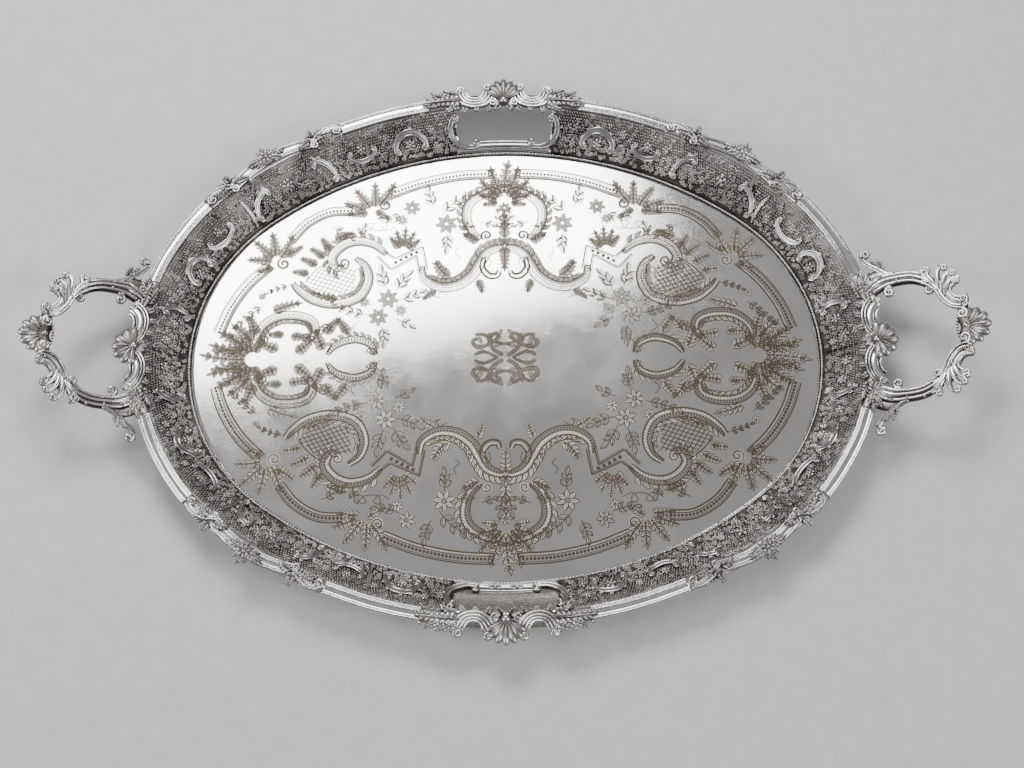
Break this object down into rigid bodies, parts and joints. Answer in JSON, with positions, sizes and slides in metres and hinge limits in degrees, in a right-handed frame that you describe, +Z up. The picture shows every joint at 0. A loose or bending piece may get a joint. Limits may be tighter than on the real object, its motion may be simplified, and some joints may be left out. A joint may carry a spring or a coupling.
{
  "type": "two-handled oval salver",
  "caption": "Oval two-handled silver-plated salver with a flat engraved well, a chased sloping border, a reeded rim with cast mounts, and two open loop handles.",
  "frame": {"origin": "on the table under the middle of the well", "axes": "+X along the length to the right handle, +Y across the width to the back, +Z up"},
  "size_m": [0.7822, 0.506, 0.066],
  "materials": {
    "well": "polished silver plate with bright-cut engraving",
    "panel": "polished plain reserve",
    "wire": "polished beading, dark between the beads",
    "border": "chased silver plate, tarnished in the hollows",
    "reeding": "polished reeds, dark in the grooves",
    "mounts": "cast silver plate, darkened in the hollows",
    "handles": "cast silver plate, darkened in the hollows"
  },
  "bodies": {
    "root": {"well_plate": "well", "bead_wire": "wire", "panel_back": "panel", "panel_front": "panel", "border_end_ne": "border", "border_end_nw": "border", "border_end_sw": "border", "border_end_se": "border", "border_side_ne": "border", "border_side_nw": "border", "border_side_sw": "border", "border_side_se": "border", "end_reed_ne": "reeding", "end_reed_nw": "reeding", "end_reed_sw": "reeding", "end_reed_se": "reeding", "long_reed_ne": "reeding", "long_reed_nw": "reeding", "long_reed_sw": "reeding", "long_reed_se": "reeding", "corner_mount_ne": "mounts", "corner_mount_nw": "mounts", "corner_mount_sw": "mounts", "corner_mount_se": "mounts", "shell_mount_back": "mounts", "shell_mount_front": "mounts", "end_mount_right": "mounts", "end_mount_left": "mounts", "handle_right": "handles", "handle_left": "handles"}
  },
  "joints": []
}
